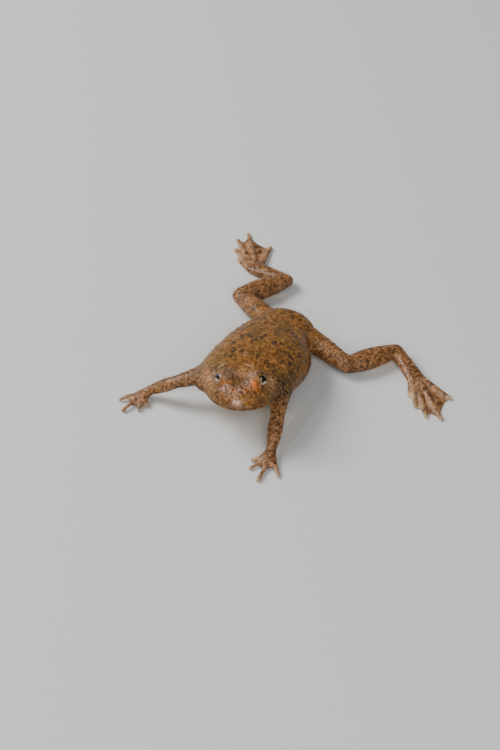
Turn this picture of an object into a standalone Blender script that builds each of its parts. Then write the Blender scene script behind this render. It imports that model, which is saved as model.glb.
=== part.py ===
"""A yellow-bellied toad, life size, lying sprawled on a flat floor.

The snout points to -Y, the toad's left side to +X and its back to +Z. Sizes below are
in millimetres and angles in degrees. Yaw is counted from +X towards +Y, seen from above.
The body is one row of rings along a bent body axis, cut at the neck into head and torso.
Each limb is a chain of bones with the same lengths on both sides, posed by its own yaws.
"""
import math

import bmesh
import bpy
import numpy as np
from mathutils import Matrix, Vector

MM = 0.001
GAP = 0.3

# Body axis: it runs along the mouth line and mid body, from the snout tip to the rump
BODY_LENGTH = 45.0
HEAD_YAW = 12.0
TRUNK_YAW = -2.0
RUMP_YAW = -12.0
HEAD_PITCH = 12.0
TRUNK_PITCH = 11.0
RUMP_PITCH = 3.0
# Each bend of the axis: where it starts behind the snout, and over what length it happens
YAW_TO_TRUNK = (9.0, 8.0)
YAW_TO_RUMP = (26.0, 12.0)
PITCH_TO_TRUNK = (10.0, 12.0)
PITCH_TO_RUMP = (22.0, 20.0)
SIDE_BULGE = 0.8
SIDE_BULGE_AT = 26.0
SIDE_BULGE_LENGTH = 8.0
BELLY_SINK = 0.3
AXIS_STEPS = 451

# Body rings: distance behind the snout, half width, height over the axis, depth under it
BODY_SECTIONS = (
    (0.0, 4.7, 3.7, 1.9),
    (3.0, 6.1, 4.0, 2.2),
    (6.0, 7.7, 4.5, 2.5),
    (9.0, 9.4, 5.0, 2.9),
    (12.0, 10.8, 5.5, 3.5),
    (16.0, 11.3, 6.0, 4.7),
    (20.0, 11.3, 6.2, 5.5),
    (25.0, 11.1, 6.2, 5.9),
    (29.0, 10.4, 5.9, 5.7),
    (33.0, 9.1, 5.3, 5.0),
    (37.0, 7.7, 4.6, 4.2),
    (41.0, 6.7, 4.0, 3.6),
    (45.0, 5.6, 3.4, 3.1),
)
SNOUT_ROUND = 4.6
RUMP_ROUND = 4.2
RING_POWER = 0.92
END_INSET = 0.02
NECK = 12.4
NECK_SPARE = 2.0
BODY_SIDES = 36
HEAD_RINGS = 24
TORSO_RINGS = 30
CUTTER_RINGS = 40

# Head: eyes, lids, nostrils and mouth line
EYE_BACK = 6.0
EYE_OUT = 4.15
EYE_UP = 4.15
EYE_RADIUS = 1.8
EYE_SEGMENTS = (20, 12)
NOSTRIL_SEGMENTS = (8, 6)
LID_THICKNESS = 0.35
LID_OPENING = 1.55
BROW_LIFT = 1.4
BROW_OUT = 3.5
BROW_LENGTH = 3.2
BROW_WIDTH = 2.3
GAZE_OUT = 0.80
GAZE_FORWARD = 0.46
GAZE_UP = 0.38
NOSTRIL_BACK = 2.5
NOSTRIL_OUT = 1.4
NOSTRIL_RADIUS = 0.34
MOUTH_END = 10.0
MOUTH_UP = -0.4
MOUTH_RADIUS = 0.26
MOUTH_FLATNESS = 1.5
MOUTH_SIDES = 6
MOUTH_STEPS = 25

# Largest warts of the back, spread evenly: first and last ring, turn from the backbone
WARTS = 64
WART_FIRST = 14.0
WART_LAST = 42.0
WART_TURN = 70.0
WART_SMALL = 0.42
WART_LARGE = 0.8
WART_SINK = 0.45
WART_SEGMENTS = (8, 4)
WART_STEPS = (0.7548777, 0.5698403, 0.3819660)

# Round ends of every bone: how far round each of their rings stands
CAP_TURNS = (24.0, 48.0, 72.0)
LIMB_SIDES = 16
LIMB_STEPS = 9
FLAT_BONE_SIDES = 14
PALM_STEPS = 5
TARSUS_STEPS = 7

# Arm bones and their half thicknesses along the bone: place, across, high
UPPER_ARM = 8.3
FOREARM = 8.6
UPPER_ARM_RINGS = ((0.0, 3.2, 2.8), (0.5, 2.35, 2.0), (1.0, 1.75, 1.55))
FOREARM_RINGS = ((0.0, 1.7, 1.5), (0.35, 1.85, 1.55), (0.75, 1.5, 1.25), (1.0, 1.25, 1.05))
PALM_LENGTH = 3.6
PALM_RINGS = ((0.0, 1.25, 1.05), (0.5, 1.95, 1.05), (1.0, 2.1, 0.85))
PALM_END_HEIGHT = 0.8
FINGER_START = 0.7 * PALM_LENGTH
FINGER_REACH = (5.2, 7.2, 9.8, 8.0)
FINGER_TURN = (-47.0, -26.0, 0.0, 31.0)
FINGER_ROOT = (-1.35, -0.6, 0.35, 1.3)
FINGER_RADII = (0.78, 0.62, 0.5, 0.52)

# Every digit: heights of its centre line, the stretch drawn in at its root, and its rings
DIGIT_ROOT_HEIGHT = 0.9
DIGIT_TIP_HEIGHT = 0.42
DIGIT_CURL_LIFT = 5.0
DIGIT_ROOT_IN = 0.3
DIGIT_RADII_AT = (0.0, 0.4, 0.75, 1.0)
DIGIT_STOPS = (0.0, 0.2, 0.4, 0.6, 0.78, 0.9, 0.96, 0.99)
DIGIT_SIZES = (1.0, 1.0, 1.0, 1.0, 1.0, 1.0, 0.75, 0.4)
DIGIT_SIDES = 10

# Leg bones
FEMUR = 14.4
TIBIA = 13.3
TARSUS = 10.4
THIGH_RINGS = ((0.0, 2.9, 2.7), (0.4, 2.8, 2.6), (0.8, 2.3, 2.2), (1.0, 2.1, 2.0))
SHANK_RINGS = ((0.0, 2.1, 2.0), (0.4, 2.7, 2.4), (0.75, 2.3, 2.0), (1.0, 1.75, 1.6))
TARSUS_RINGS = ((0.0, 1.75, 1.5), (0.4, 1.8, 1.35), (1.0, 2.3, 1.15))
TOE_START = 0.2
TOE_REACH = (6.0, 9.8, 13.4, 15.2, 10.4)
TOE_TURN = (-38.0, -24.0, -13.0, 0.0, 30.0)
TOE_ROOT = (-1.4, -0.8, -0.1, 0.6, 1.4)
TOE_RADII = (0.8, 0.62, 0.5, 0.5)
WEB_TOP = 0.62
WEB_UNDER = -0.2
WEB_REACH = 0.92
WEB_SCALLOP = 0.84
WEB_EDGE_STEPS = 7

# Pose: the root is given as distance behind the snout, out from the axis, and height
ARM_ROOT = (14.4, 8.2, 8.0)
LEG_ROOT = (40.0, 4.2, 4.2)
ARM_POSE = {
    "left": {"yaws": (-78.0, -84.0), "heights": (6.0, 1.55), "hand": -92.0, "curl": 0.0},
    "right": {"yaws": (-157.0, -177.0), "heights": (6.0, 1.55), "hand": -115.0, "curl": 0.2},
}
LEG_POSE = {
    "left": {"yaws": (-26.0, 46.0, -48.0), "heights": (2.6, 1.9, 1.0), "foot": -52.0},
    "right": {"yaws": (139.0, 48.0, 159.0), "heights": (2.7, 2.0, 1.0), "foot": 113.0},
}

# Colours (linear red, green, blue), with each material's roughness
SKIN_BROWN = (0.26, 0.145, 0.042)
LIMB_BROWN = (0.25, 0.15, 0.055)
DIGIT_OCHRE = (0.36, 0.21, 0.06)
IRIS_GOLD = (0.48, 0.36, 0.15)
SKIN_ROUGHNESS = 0.4
EYE_ROUGHNESS = 0.08


def ease(x):
    """Go smoothly from 0 to 1 as x goes from 0 to 1."""
    x = np.clip(x, 0.0, 1.0)
    return x * x * (3.0 - 2.0 * x)


def through(table, column, x):
    """Read a smooth curve that passes through one column of a table of stations."""
    stations = np.array([row[0] for row in table])
    values = np.array([row[column] for row in table])
    slopes = np.gradient(values, stations)
    i = np.clip(np.searchsorted(stations, x, side="right") - 1, 0, len(stations) - 2)
    span = stations[i + 1] - stations[i]
    t = (x - stations[i]) / span
    start = values[i] * (1 + 2 * t) * (1 - t) ** 2 + slopes[i] * span * t * (1 - t) ** 2
    end = values[i + 1] * t * t * (3 - 2 * t) + slopes[i + 1] * span * t * t * (t - 1)
    return start + end


def body_sizes(back):
    """Half width, height and depth of the body, with its snout and rump rounded off."""
    front = np.clip(1.0 - back / SNOUT_ROUND, 0.0, 1.0)
    rear = np.clip(1.0 - (BODY_LENGTH - back) / RUMP_ROUND, 0.0, 1.0)
    rounding = np.sqrt(1.0 - front**2) * np.sqrt(1.0 - rear**2)
    return [through(BODY_SECTIONS, column, back) * rounding for column in (1, 2, 3)]


def bend(back, start_and_length):
    """How far a bend of the axis has gone, from 0 to 1, at a distance behind the snout."""
    start, length = start_and_length
    return ease((back - start) / length)


def body_axis():
    """Places along the body axis, with its yaw and pitch, resting on the floor."""
    back = np.linspace(0.0, BODY_LENGTH, AXIS_STEPS)
    step = back[1]
    yaw = HEAD_YAW + (TRUNK_YAW - HEAD_YAW) * bend(back, YAW_TO_TRUNK)
    yaw = yaw + (RUMP_YAW - TRUNK_YAW) * bend(back, YAW_TO_RUMP)
    pitch = HEAD_PITCH + (TRUNK_PITCH - HEAD_PITCH) * bend(back, PITCH_TO_TRUNK)
    pitch = pitch + (RUMP_PITCH - TRUNK_PITCH) * bend(back, PITCH_TO_RUMP)
    yaw = np.radians(yaw)
    pitch = np.radians(pitch)
    flat = np.cos(pitch)
    heading = np.stack([-np.sin(yaw) * flat, np.cos(yaw) * flat, -np.sin(pitch)], 1)
    places = np.zeros((AXIS_STEPS, 3))
    places[1:] = np.cumsum((heading[1:] + heading[:-1]) / 2, axis=0) * step
    across = np.stack([np.cos(yaw), np.sin(yaw), 0 * yaw], 1)
    bulge = SIDE_BULGE * np.exp(-(((back - SIDE_BULGE_AT) / SIDE_BULGE_LENGTH) ** 2))
    places = places + across * bulge[:, None]
    depth = body_sizes(back)[2]
    places[:, 2] -= (places[:, 2] - depth).min() + BELLY_SINK
    return back, places, heading, across


AXIS_BACK, AXIS_PLACES, AXIS_HEADING, AXIS_ACROSS = body_axis()


def body_point(back, out, up):
    """A point beside the body axis: out to the toad's left, up away from the belly."""
    place = [np.interp(back, AXIS_BACK, AXIS_PLACES[:, k]) for k in range(3)]
    heading = [np.interp(back, AXIS_BACK, AXIS_HEADING[:, k]) for k in range(3)]
    across = [np.interp(back, AXIS_BACK, AXIS_ACROSS[:, k]) for k in range(3)]
    above = np.cross(across, heading)
    return np.array(place) + np.array(across) * out + above * up


def body_ring(back, swell=0.0):
    """One ring of the body: full low sides, a rounder back, swollen all round on request."""
    wide, high, deep = [size + swell for size in body_sizes(back)]
    brow = BROW_LIFT * math.exp(-(((back - EYE_BACK) / BROW_LENGTH) ** 2))
    points = []
    for k in range(BODY_SIDES):
        turn = 2.0 * math.pi * k / BODY_SIDES
        x = abs(math.cos(turn)) ** RING_POWER * math.copysign(wide, math.cos(turn))
        reach = high if math.sin(turn) > 0 else deep
        z = abs(math.sin(turn)) ** RING_POWER * math.copysign(reach, math.sin(turn))
        if z > 0:
            z += brow * math.exp(-(((abs(x) - BROW_OUT) / BROW_WIDTH) ** 2))
        points.append(body_point(back, x, z))
    return points


def make_solid(name, rings):
    """Skin a row of rings and close each end with a fan around its middle."""
    mesh = bmesh.new()
    rows = [[mesh.verts.new(Vector(p) * MM) for p in ring] for ring in rings]
    sides = len(rings[0])
    for near, far in zip(rows, rows[1:]):
        for k in range(sides):
            after = (k + 1) % sides
            mesh.faces.new((near[k], near[after], far[after], far[k]))
    for row, ring in ((rows[0], rings[0]), (rows[-1], rings[-1])):
        tip = mesh.verts.new(Vector(np.mean(ring, axis=0)) * MM)
        for k in range(sides):
            mesh.faces.new((row[k], row[(k + 1) % sides], tip))
    return finish(name, mesh)


def finish(name, mesh):
    """Turn the faces out, shade them smooth and put the mesh in the scene."""
    bmesh.ops.recalc_face_normals(mesh, faces=mesh.faces[:])
    data = bpy.data.meshes.new(name)
    mesh.to_mesh(data)
    mesh.free()
    data.shade_smooth()
    body = bpy.data.objects.new(name, data)
    bpy.context.scene.collection.objects.link(body)
    return body


def keep_largest(body):
    """Leave only the largest closed surface of an object."""
    mesh = bmesh.new()
    mesh.from_mesh(body.data)
    left = set(mesh.verts)
    groups = []
    while left:
        group = {left.pop()}
        edge_of_group = list(group)
        while edge_of_group:
            vert = edge_of_group.pop()
            near = {edge.other_vert(vert) for edge in vert.link_edges} - group
            group |= near
            left -= near
            edge_of_group.extend(near)
        groups.append(group)
    largest = max(groups, key=len)
    loose = [vert for vert in mesh.verts if vert not in largest]
    bmesh.ops.delete(mesh, geom=loose, context="VERTS")
    mesh.to_mesh(body.data)
    mesh.free()


def combine(body, others, operation):
    """Fuse other closed solids with an object, or cut them out of it."""
    tools = bpy.data.collections.new("tools")
    for other in others:
        tools.objects.link(other)
    change = body.modifiers.new("combine", "BOOLEAN")
    change.operation = operation
    change.operand_type = "COLLECTION"
    change.collection = tools
    change.solver = "EXACT"
    bpy.context.view_layer.update()
    evaluated = body.evaluated_get(bpy.context.evaluated_depsgraph_get())
    result = bpy.data.meshes.new_from_object(evaluated)
    body.modifiers.clear()
    body.data = result
    bpy.data.collections.remove(tools)
    for other in others:
        bpy.data.objects.remove(other)
    keep_largest(body)
    result.shade_smooth()
    return body


def trim(body, point, normal):
    """Cut off what lies past a plane and close the cut with a flat face."""
    mesh = bmesh.new()
    mesh.from_mesh(body.data)
    parts = mesh.verts[:] + mesh.edges[:] + mesh.faces[:]
    bmesh.ops.bisect_plane(
        mesh, geom=parts, dist=1e-7, plane_co=Vector(point) * MM,
        plane_no=Vector(normal), clear_outer=True)
    open_edges = [edge for edge in mesh.edges if len(edge.link_faces) == 1]
    bmesh.ops.holes_fill(mesh, edges=open_edges, sides=0)
    bmesh.ops.recalc_face_normals(mesh, faces=mesh.faces[:])
    mesh.to_mesh(body.data)
    mesh.free()
    return body


def rest_on_floor(body):
    """Make small flats where a sub-part touches the floor."""
    return trim(body, (0.0, 0.0, 0.0), (0.0, 0.0, -1.0))


def paint(body, colour, roughness):
    """Give a sub-part its own plain material."""
    material = bpy.data.materials.new(body.name)
    material.use_nodes = True
    shader = material.node_tree.nodes["Principled BSDF"]
    shader.inputs["Base Color"].default_value = (*colour, 1.0)
    shader.inputs["Roughness"].default_value = roughness
    shader.inputs["Metallic"].default_value = 0.0
    body.data.materials.clear()
    body.data.materials.append(material)


def body_solid(name, first, last, rings, swell=0.0):
    """The body between two distances behind the snout, with rings closer at the ends."""
    spread = (1.0 - np.cos(np.linspace(0.0, math.pi, rings))) / 2.0
    stops = first + (last - first) * (0.5 * spread + 0.5 * np.linspace(0.0, 1.0, rings))
    return make_solid(name, [body_ring(back, swell) for back in stops])


def ball(name, centre, radius, segments):
    """A round ball as a closed solid, with this many segments round it and from pole to pole."""
    around, rings = segments
    mesh = bmesh.new()
    bmesh.ops.create_uvsphere(
        mesh, u_segments=around, v_segments=rings, radius=radius * MM,
        matrix=Matrix.Translation(Vector(centre) * MM))
    return finish(name, mesh)


def bone_solid(name, start, end, table, sides=LIMB_SIDES, steps=LIMB_STEPS):
    """A tapered limb between two joints, with a round end past each joint."""
    start = np.array(start)
    end = np.array(end)
    along = (end - start) / np.linalg.norm(end - start)
    across = np.cross((0.0, 0.0, 1.0), along)
    across = across / np.linalg.norm(across)
    above = np.cross(along, across)
    stops = []
    for turn in reversed(CAP_TURNS):
        stops.append((0.0, -math.sin(math.radians(turn)), math.cos(math.radians(turn))))
    stops.extend((k / (steps - 1), 0.0, 1.0) for k in range(steps))
    for turn in CAP_TURNS:
        stops.append((1.0, math.sin(math.radians(turn)), math.cos(math.radians(turn))))
    rings = []
    for place, beyond, size in stops:
        wide = through(table, 1, place)
        high = through(table, 2, place)
        centre = start + (end - start) * place + along * beyond * (wide + high) / 2
        turns = np.linspace(0.0, 2.0 * math.pi, sides, endpoint=False)[:, None]
        ring = centre + across * np.cos(turns) * wide * size + above * np.sin(turns) * high * size
        rings.append(ring)
    return make_solid(name, rings)


def digit(root, yaw, length, radii, curl):
    """A finger or toe: a slender tube that dips to the floor and ends in a round tip."""
    heading = np.array((math.cos(math.radians(yaw)), math.sin(math.radians(yaw)), 0.0))
    across = np.array((-heading[1], heading[0], 0.0))
    up = np.array((0.0, 0.0, 1.0))
    rings = []
    table = list(zip(DIGIT_RADII_AT, radii))
    turns = np.linspace(0.0, 2.0 * math.pi, DIGIT_SIDES, endpoint=False)[:, None]
    for place, size in zip(DIGIT_STOPS, DIGIT_SIZES):
        radius = through(table, 1, place) * size
        shorter = 1.0 - curl * place
        arch = DIGIT_ROOT_HEIGHT * (1.0 - place) + DIGIT_TIP_HEIGHT * place
        arch = arch + curl * DIGIT_CURL_LIFT * place * (1.0 - place)
        centre = root + heading * length * place * shorter + up * arch
        rings.append(centre + across * np.cos(turns) * radius + up * np.sin(turns) * radius)
    return make_solid("digit", rings)


def joint_step(start, yaw, length, height):
    """The next joint, a bone's length away at a given yaw and height over the floor."""
    rise = height - start[2]
    flat = math.sqrt(length**2 - rise**2)
    turn = math.radians(yaw)
    return np.array((start[0] + flat * math.cos(turn), start[1] + flat * math.sin(turn), height))


def part_at_joint(first, second, before, joint, after):
    """Part two bones at their joint, with the gap between two parallel flat faces."""
    back = (before - joint) / np.linalg.norm(before - joint)
    ahead = (after - joint) / np.linalg.norm(after - joint)
    normal = (ahead - back) / np.linalg.norm(ahead - back)
    trim(first, joint - normal * GAP / 2, normal)
    trim(second, joint + normal * GAP / 2, -normal)


def plate(outline, bottom, top):
    """A flat plate with a given outline, seen from above."""
    mesh = bmesh.new()
    low = [mesh.verts.new(Vector((x, y, bottom)) * MM) for x, y in outline]
    face = mesh.faces.new(low)
    lifted = bmesh.ops.extrude_face_region(mesh, geom=[face])["geom"]
    raised = [item for item in lifted if isinstance(item, bmesh.types.BMVert)]
    bmesh.ops.translate(mesh, verts=raised, vec=(0.0, 0.0, (top - bottom) * MM))
    return finish("plate", mesh)


def web(root_a, tip_a, root_b, tip_b):
    """The web between two toes, with a hollow free edge."""
    reach_a = root_a + (tip_a - root_a) * WEB_REACH
    reach_b = root_b + (tip_b - root_b) * WEB_REACH
    middle = (root_a + root_b) / 2 + ((tip_a + tip_b) / 2 - (root_a + root_b) / 2) * WEB_SCALLOP
    pull = 2.0 * middle - (reach_a + reach_b) / 2
    edge = []
    for t in np.linspace(0.0, 1.0, WEB_EDGE_STEPS):
        edge.append(reach_a * (1 - t) ** 2 + pull * 2 * t * (1 - t) + reach_b * t * t)
    outline = [root_a[:2]] + [point[:2] for point in edge] + [root_b[:2]]
    return plate(outline, WEB_UNDER, WEB_TOP)


def head():
    """Head with eye mounds that form the lids, sockets, nostrils and the mouth line."""
    skull = body_solid("head", END_INSET, NECK + NECK_SPARE, HEAD_RINGS)
    mounds = []
    for side in (1.0, -1.0):
        mound = ball("mound", eye_centre(side), EYE_RADIUS + GAP + LID_THICKNESS, EYE_SEGMENTS)
        gaze = gaze_direction(side)
        trim(mound, eye_centre(side) + gaze * LID_OPENING, gaze)
        mounds.append(mound)
    combine(skull, mounds, "UNION")
    socket = EYE_RADIUS + GAP
    sockets = [ball("socket", eye_centre(s), socket, EYE_SEGMENTS) for s in (1.0, -1.0)]
    combine(skull, sockets, "DIFFERENCE")
    holes = [ball("nostril", nostril(s), NOSTRIL_RADIUS, NOSTRIL_SEGMENTS) for s in (1.0, -1.0)]
    combine(skull, holes + [mouth_cutter()], "DIFFERENCE")
    neck = body_point(NECK, 0.0, 0.0)
    back = np.array([np.interp(NECK, AXIS_BACK, AXIS_HEADING[:, k]) for k in range(3)])
    trim(skull, neck - back * GAP / 2, back)
    paint(skull, SKIN_BROWN, SKIN_ROUGHNESS)
    return skull


def eye_centre(side):
    """Centre of an eyeball: side is 1 for the toad's left and -1 for its right."""
    return body_point(EYE_BACK, EYE_OUT * side, EYE_UP)


def gaze_direction(side):
    """Which way an eye looks: out, forward and a little up."""
    here = body_point(EYE_BACK, 0.0, 0.0)
    ahead = body_point(EYE_BACK - 1.0, 0.0, 0.0) - here
    out = body_point(EYE_BACK, side, 0.0) - here
    up = body_point(EYE_BACK, 0.0, 1.0) - here
    gaze = out * GAZE_OUT + ahead * GAZE_FORWARD + up * GAZE_UP
    return gaze / np.linalg.norm(gaze)


def nostril(side):
    """Where a nostril opens on the top of the snout."""
    wide, high, deep = body_sizes(NOSTRIL_BACK)
    lift = high * math.sqrt(1.0 - (NOSTRIL_OUT / wide) ** 2)
    return body_point(NOSTRIL_BACK, NOSTRIL_OUT * side, lift)


def mouth_cutter():
    """A thin tube along the widest line of the jaws, from corner to corner."""
    places = []
    for turn in np.linspace(-90.0, 90.0, MOUTH_STEPS):
        back = MOUTH_END * (1.0 - math.cos(math.radians(turn))) + END_INSET / 2
        wide = body_sizes(back)[0]
        places.append(body_point(back, math.copysign(wide, turn), MOUTH_UP))
    places = np.array(places)
    heading = np.gradient(places, axis=0)
    heading = heading / np.linalg.norm(heading, axis=1)[:, None]
    up = np.array((0.0, 0.0, 1.0))
    rings = []
    for place, ahead in zip(places, heading):
        outward = np.cross(ahead, up)
        ring = []
        for k in range(MOUTH_SIDES):
            turn = 2.0 * math.pi * k / MOUTH_SIDES
            spoke = outward * math.cos(turn) * MOUTH_FLATNESS + up * math.sin(turn)
            ring.append(place + spoke * MOUTH_RADIUS)
        rings.append(ring)
    return make_solid("mouth", rings)


def warts():
    """The largest warts of the back as low round balls, half sunk in the skin."""
    balls = []
    for k in range(1, WARTS + 1):
        along, around, size = [(k * step) % 1.0 for step in WART_STEPS]
        back = WART_FIRST + (WART_LAST - WART_FIRST) * along
        turn = math.radians(WART_TURN * (2.0 * around - 1.0))
        wide, high, deep = body_sizes(back)
        radius = WART_SMALL + (WART_LARGE - WART_SMALL) * size
        sunk = 1.0 - WART_SINK * radius / high
        place = body_point(back, wide * math.sin(turn) * sunk, high * math.cos(turn) * sunk)
        balls.append(ball("wart", place, radius, WART_SEGMENTS))
    return balls


def torso():
    """Trunk and rump, flat under the belly where it rests."""
    trunk = body_solid("torso", NECK - NECK_SPARE, BODY_LENGTH - END_INSET, TORSO_RINGS)
    combine(trunk, warts(), "UNION")
    neck = body_point(NECK, 0.0, 0.0)
    back = np.array([np.interp(NECK, AXIS_BACK, AXIS_HEADING[:, k]) for k in range(3)])
    trim(trunk, neck + back * GAP / 2, -back)
    rest_on_floor(trunk)
    paint(trunk, SKIN_BROWN, SKIN_ROUGHNESS)
    return trunk


def eye(name, side):
    """An eyeball in its socket."""
    globe = ball(name, eye_centre(side), EYE_RADIUS, EYE_SEGMENTS)
    paint(globe, IRIS_GOLD, EYE_ROUGHNESS)
    return globe


def swollen_body():
    """The whole body, swollen by the gap, to cut the limb roots to its shape."""
    return body_solid("swollen", END_INSET, BODY_LENGTH - END_INSET, CUTTER_RINGS, GAP)


def arm(side_name, side):
    """Upper arm, forearm and hand, from a shoulder inside the body to the finger tips."""
    pose = ARM_POSE[side_name]
    shoulder = body_point(ARM_ROOT[0], ARM_ROOT[1] * side, 0.0)
    shoulder[2] = ARM_ROOT[2]
    elbow = joint_step(shoulder, pose["yaws"][0], UPPER_ARM, pose["heights"][0])
    wrist = joint_step(elbow, pose["yaws"][1], FOREARM, pose["heights"][1])
    palm_end = joint_step(wrist, pose["hand"], PALM_LENGTH, PALM_END_HEIGHT)
    upper = bone_solid("upper_arm_" + side_name, shoulder, elbow, UPPER_ARM_RINGS)
    fore = bone_solid("forearm_" + side_name, elbow, wrist, FOREARM_RINGS)
    palm = bone_solid("hand_" + side_name, wrist, palm_end, PALM_RINGS,
                      FLAT_BONE_SIDES, PALM_STEPS)
    part_at_joint(upper, fore, shoulder, elbow, wrist)
    part_at_joint(fore, palm, elbow, wrist, palm_end)
    fingers = digits(wrist, pose["hand"], side, FINGER_START, FINGER_REACH, FINGER_TURN,
                     FINGER_ROOT, FINGER_RADII, pose["curl"])
    combine(palm, [finger[0] for finger in fingers], "UNION")
    combine(upper, [swollen_body()], "DIFFERENCE")
    for piece, colour in ((upper, LIMB_BROWN), (fore, LIMB_BROWN), (palm, DIGIT_OCHRE)):
        rest_on_floor(piece)
        paint(piece, colour, SKIN_ROUGHNESS)


def digits(origin, yaw, side, ahead, reaches, turns, roots, radii, curl):
    """All digits of one hand or foot: each solid with the ends of its centre line."""
    result = []
    heading = np.array((math.cos(math.radians(yaw)), math.sin(math.radians(yaw)), 0.0))
    outward = np.array((-heading[1], heading[0], 0.0)) * side
    base = np.array((origin[0], origin[1], 0.0))
    for reach, turn, root in zip(reaches, turns, roots):
        place = base + heading * (ahead - DIGIT_ROOT_IN * abs(root)) + outward * root
        own_yaw = math.radians(yaw + turn * side)
        tip = base + reach * np.array((math.cos(own_yaw), math.sin(own_yaw), 0.0))
        run = tip - place
        own = math.degrees(math.atan2(run[1], run[0]))
        solid = digit(place, own, np.linalg.norm(run), radii, curl)
        result.append((solid, place, tip))
    return result


def leg(side_name, side):
    """Thigh, shank and webbed foot, from a hip inside the body to the toe tips."""
    pose = LEG_POSE[side_name]
    hip = body_point(LEG_ROOT[0], LEG_ROOT[1] * side, 0.0)
    hip[2] = LEG_ROOT[2]
    knee = joint_step(hip, pose["yaws"][0], FEMUR, pose["heights"][0])
    ankle = joint_step(knee, pose["yaws"][1], TIBIA, pose["heights"][1])
    sole = joint_step(ankle, pose["yaws"][2], TARSUS, pose["heights"][2])
    thigh = bone_solid("thigh_" + side_name, hip, knee, THIGH_RINGS)
    shank = bone_solid("shank_" + side_name, knee, ankle, SHANK_RINGS)
    foot = bone_solid("foot_" + side_name, ankle, sole, TARSUS_RINGS,
                      FLAT_BONE_SIDES, TARSUS_STEPS)
    part_at_joint(thigh, shank, hip, knee, ankle)
    part_at_joint(shank, foot, knee, ankle, sole)
    toes = digits(sole, pose["foot"], side, TOE_START, TOE_REACH, TOE_TURN, TOE_ROOT,
                  TOE_RADII, 0.0)
    webs = [web(a[1], a[2], b[1], b[2]) for a, b in zip(toes, toes[1:])]
    combine(foot, [toe[0] for toe in toes] + webs, "UNION")
    combine(thigh, [swollen_body()], "DIFFERENCE")
    for piece, colour in ((thigh, LIMB_BROWN), (shank, LIMB_BROWN), (foot, DIGIT_OCHRE)):
        rest_on_floor(piece)
        paint(piece, colour, SKIN_ROUGHNESS)


def centre_on_floor():
    """Move every sub-part so that the origin is the middle of the toad's footprint."""
    solids = [body for body in bpy.data.objects if body.type == "MESH"]
    corners = np.concatenate([[vert.co for vert in body.data.vertices] for body in solids])
    middle = (corners.min(axis=0) + corners.max(axis=0)) / 2
    shift = Matrix.Translation((-middle[0], -middle[1], -corners[:, 2].min()))
    for body in solids:
        body.data.transform(shift)


def build():
    """Clear the scene and model every sub-part."""
    for old in list(bpy.data.objects):
        bpy.data.objects.remove(old)
    head()
    torso()
    for side_name, side in (("left", 1.0), ("right", -1.0)):
        eye("eye_" + side_name, side)
        arm(side_name, side)
        leg(side_name, side)
    centre_on_floor()


build()
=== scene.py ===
import math

import bmesh
import bpy
import numpy as np
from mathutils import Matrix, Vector


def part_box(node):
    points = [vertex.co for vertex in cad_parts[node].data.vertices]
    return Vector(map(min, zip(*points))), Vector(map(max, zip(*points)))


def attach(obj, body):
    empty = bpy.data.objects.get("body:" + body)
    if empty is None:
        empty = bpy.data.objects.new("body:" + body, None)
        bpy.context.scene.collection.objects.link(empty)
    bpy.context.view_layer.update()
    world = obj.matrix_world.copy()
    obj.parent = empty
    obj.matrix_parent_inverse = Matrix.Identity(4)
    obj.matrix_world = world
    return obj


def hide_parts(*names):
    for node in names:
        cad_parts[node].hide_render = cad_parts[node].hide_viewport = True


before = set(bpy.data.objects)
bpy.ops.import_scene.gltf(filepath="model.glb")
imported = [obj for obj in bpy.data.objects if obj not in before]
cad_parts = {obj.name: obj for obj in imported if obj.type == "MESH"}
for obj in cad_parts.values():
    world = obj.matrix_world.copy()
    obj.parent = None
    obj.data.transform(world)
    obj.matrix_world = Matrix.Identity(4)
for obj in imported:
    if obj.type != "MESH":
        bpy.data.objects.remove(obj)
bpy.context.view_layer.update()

MM = 0.001

# Skin, its shape. One moist, warty skin covers the whole toad, from the lips to the toe
# webs. It is worked out in millimetres from the snout tip, with the named sizes of the
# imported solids, melted into one closed surface and then finished with lids, lips and warts.
BODY_LENGTH = 45.0
BODY_YAWS, YAW_BENDS = (12.0, -2.0, -12.0), ((9.0, 8.0), (26.0, 12.0))
BODY_PITCHES, PITCH_BENDS = (12.0, 11.0, 3.0), ((10.0, 12.0), (22.0, 20.0))
SIDE_BULGE, SIDE_BULGE_AT, SIDE_BULGE_LENGTH = 0.8, 26.0, 8.0
BELLY_SINK = 0.3
AXIS_STEPS = 451
BODY_SECTIONS = np.array([
    (0.0, 4.7, 3.7, 1.9), (3.0, 6.1, 4.0, 2.2), (6.0, 7.7, 4.5, 2.5), (9.0, 9.4, 5.0, 2.9),
    (12.0, 10.8, 5.5, 3.5), (16.0, 11.3, 6.0, 4.7), (20.0, 11.3, 6.2, 5.5),
    (25.0, 11.1, 6.2, 5.9), (29.0, 10.4, 5.9, 5.7), (33.0, 9.1, 5.3, 5.0),
    (37.0, 7.7, 4.6, 4.2), (41.0, 6.7, 4.0, 3.6), (45.0, 5.6, 3.4, 3.1)])
SNOUT_ROUND, RUMP_ROUND = 4.6, 4.2
RING_POWER = 0.92
EYE_BACK, EYE_OUT, EYE_UP, EYE_RADIUS = 6.0, 4.15, 4.15, 1.8
BROW_LIFT, BROW_OUT, BROW_LENGTH, BROW_WIDTH = 1.4, 3.5, 3.2, 2.3
MOUND_RADIUS, MOUND_FLAT = 2.38, 1.6
GAZE = np.array((0.80, 0.46, 0.38))


def ease(x):
    """Go smoothly from 0 to 1 as x goes from 0 to 1: three x squared less two x cubed."""
    x = np.clip(x, 0.0, 1.0)
    return x * x * (3.0 - 2.0 * x)


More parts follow.
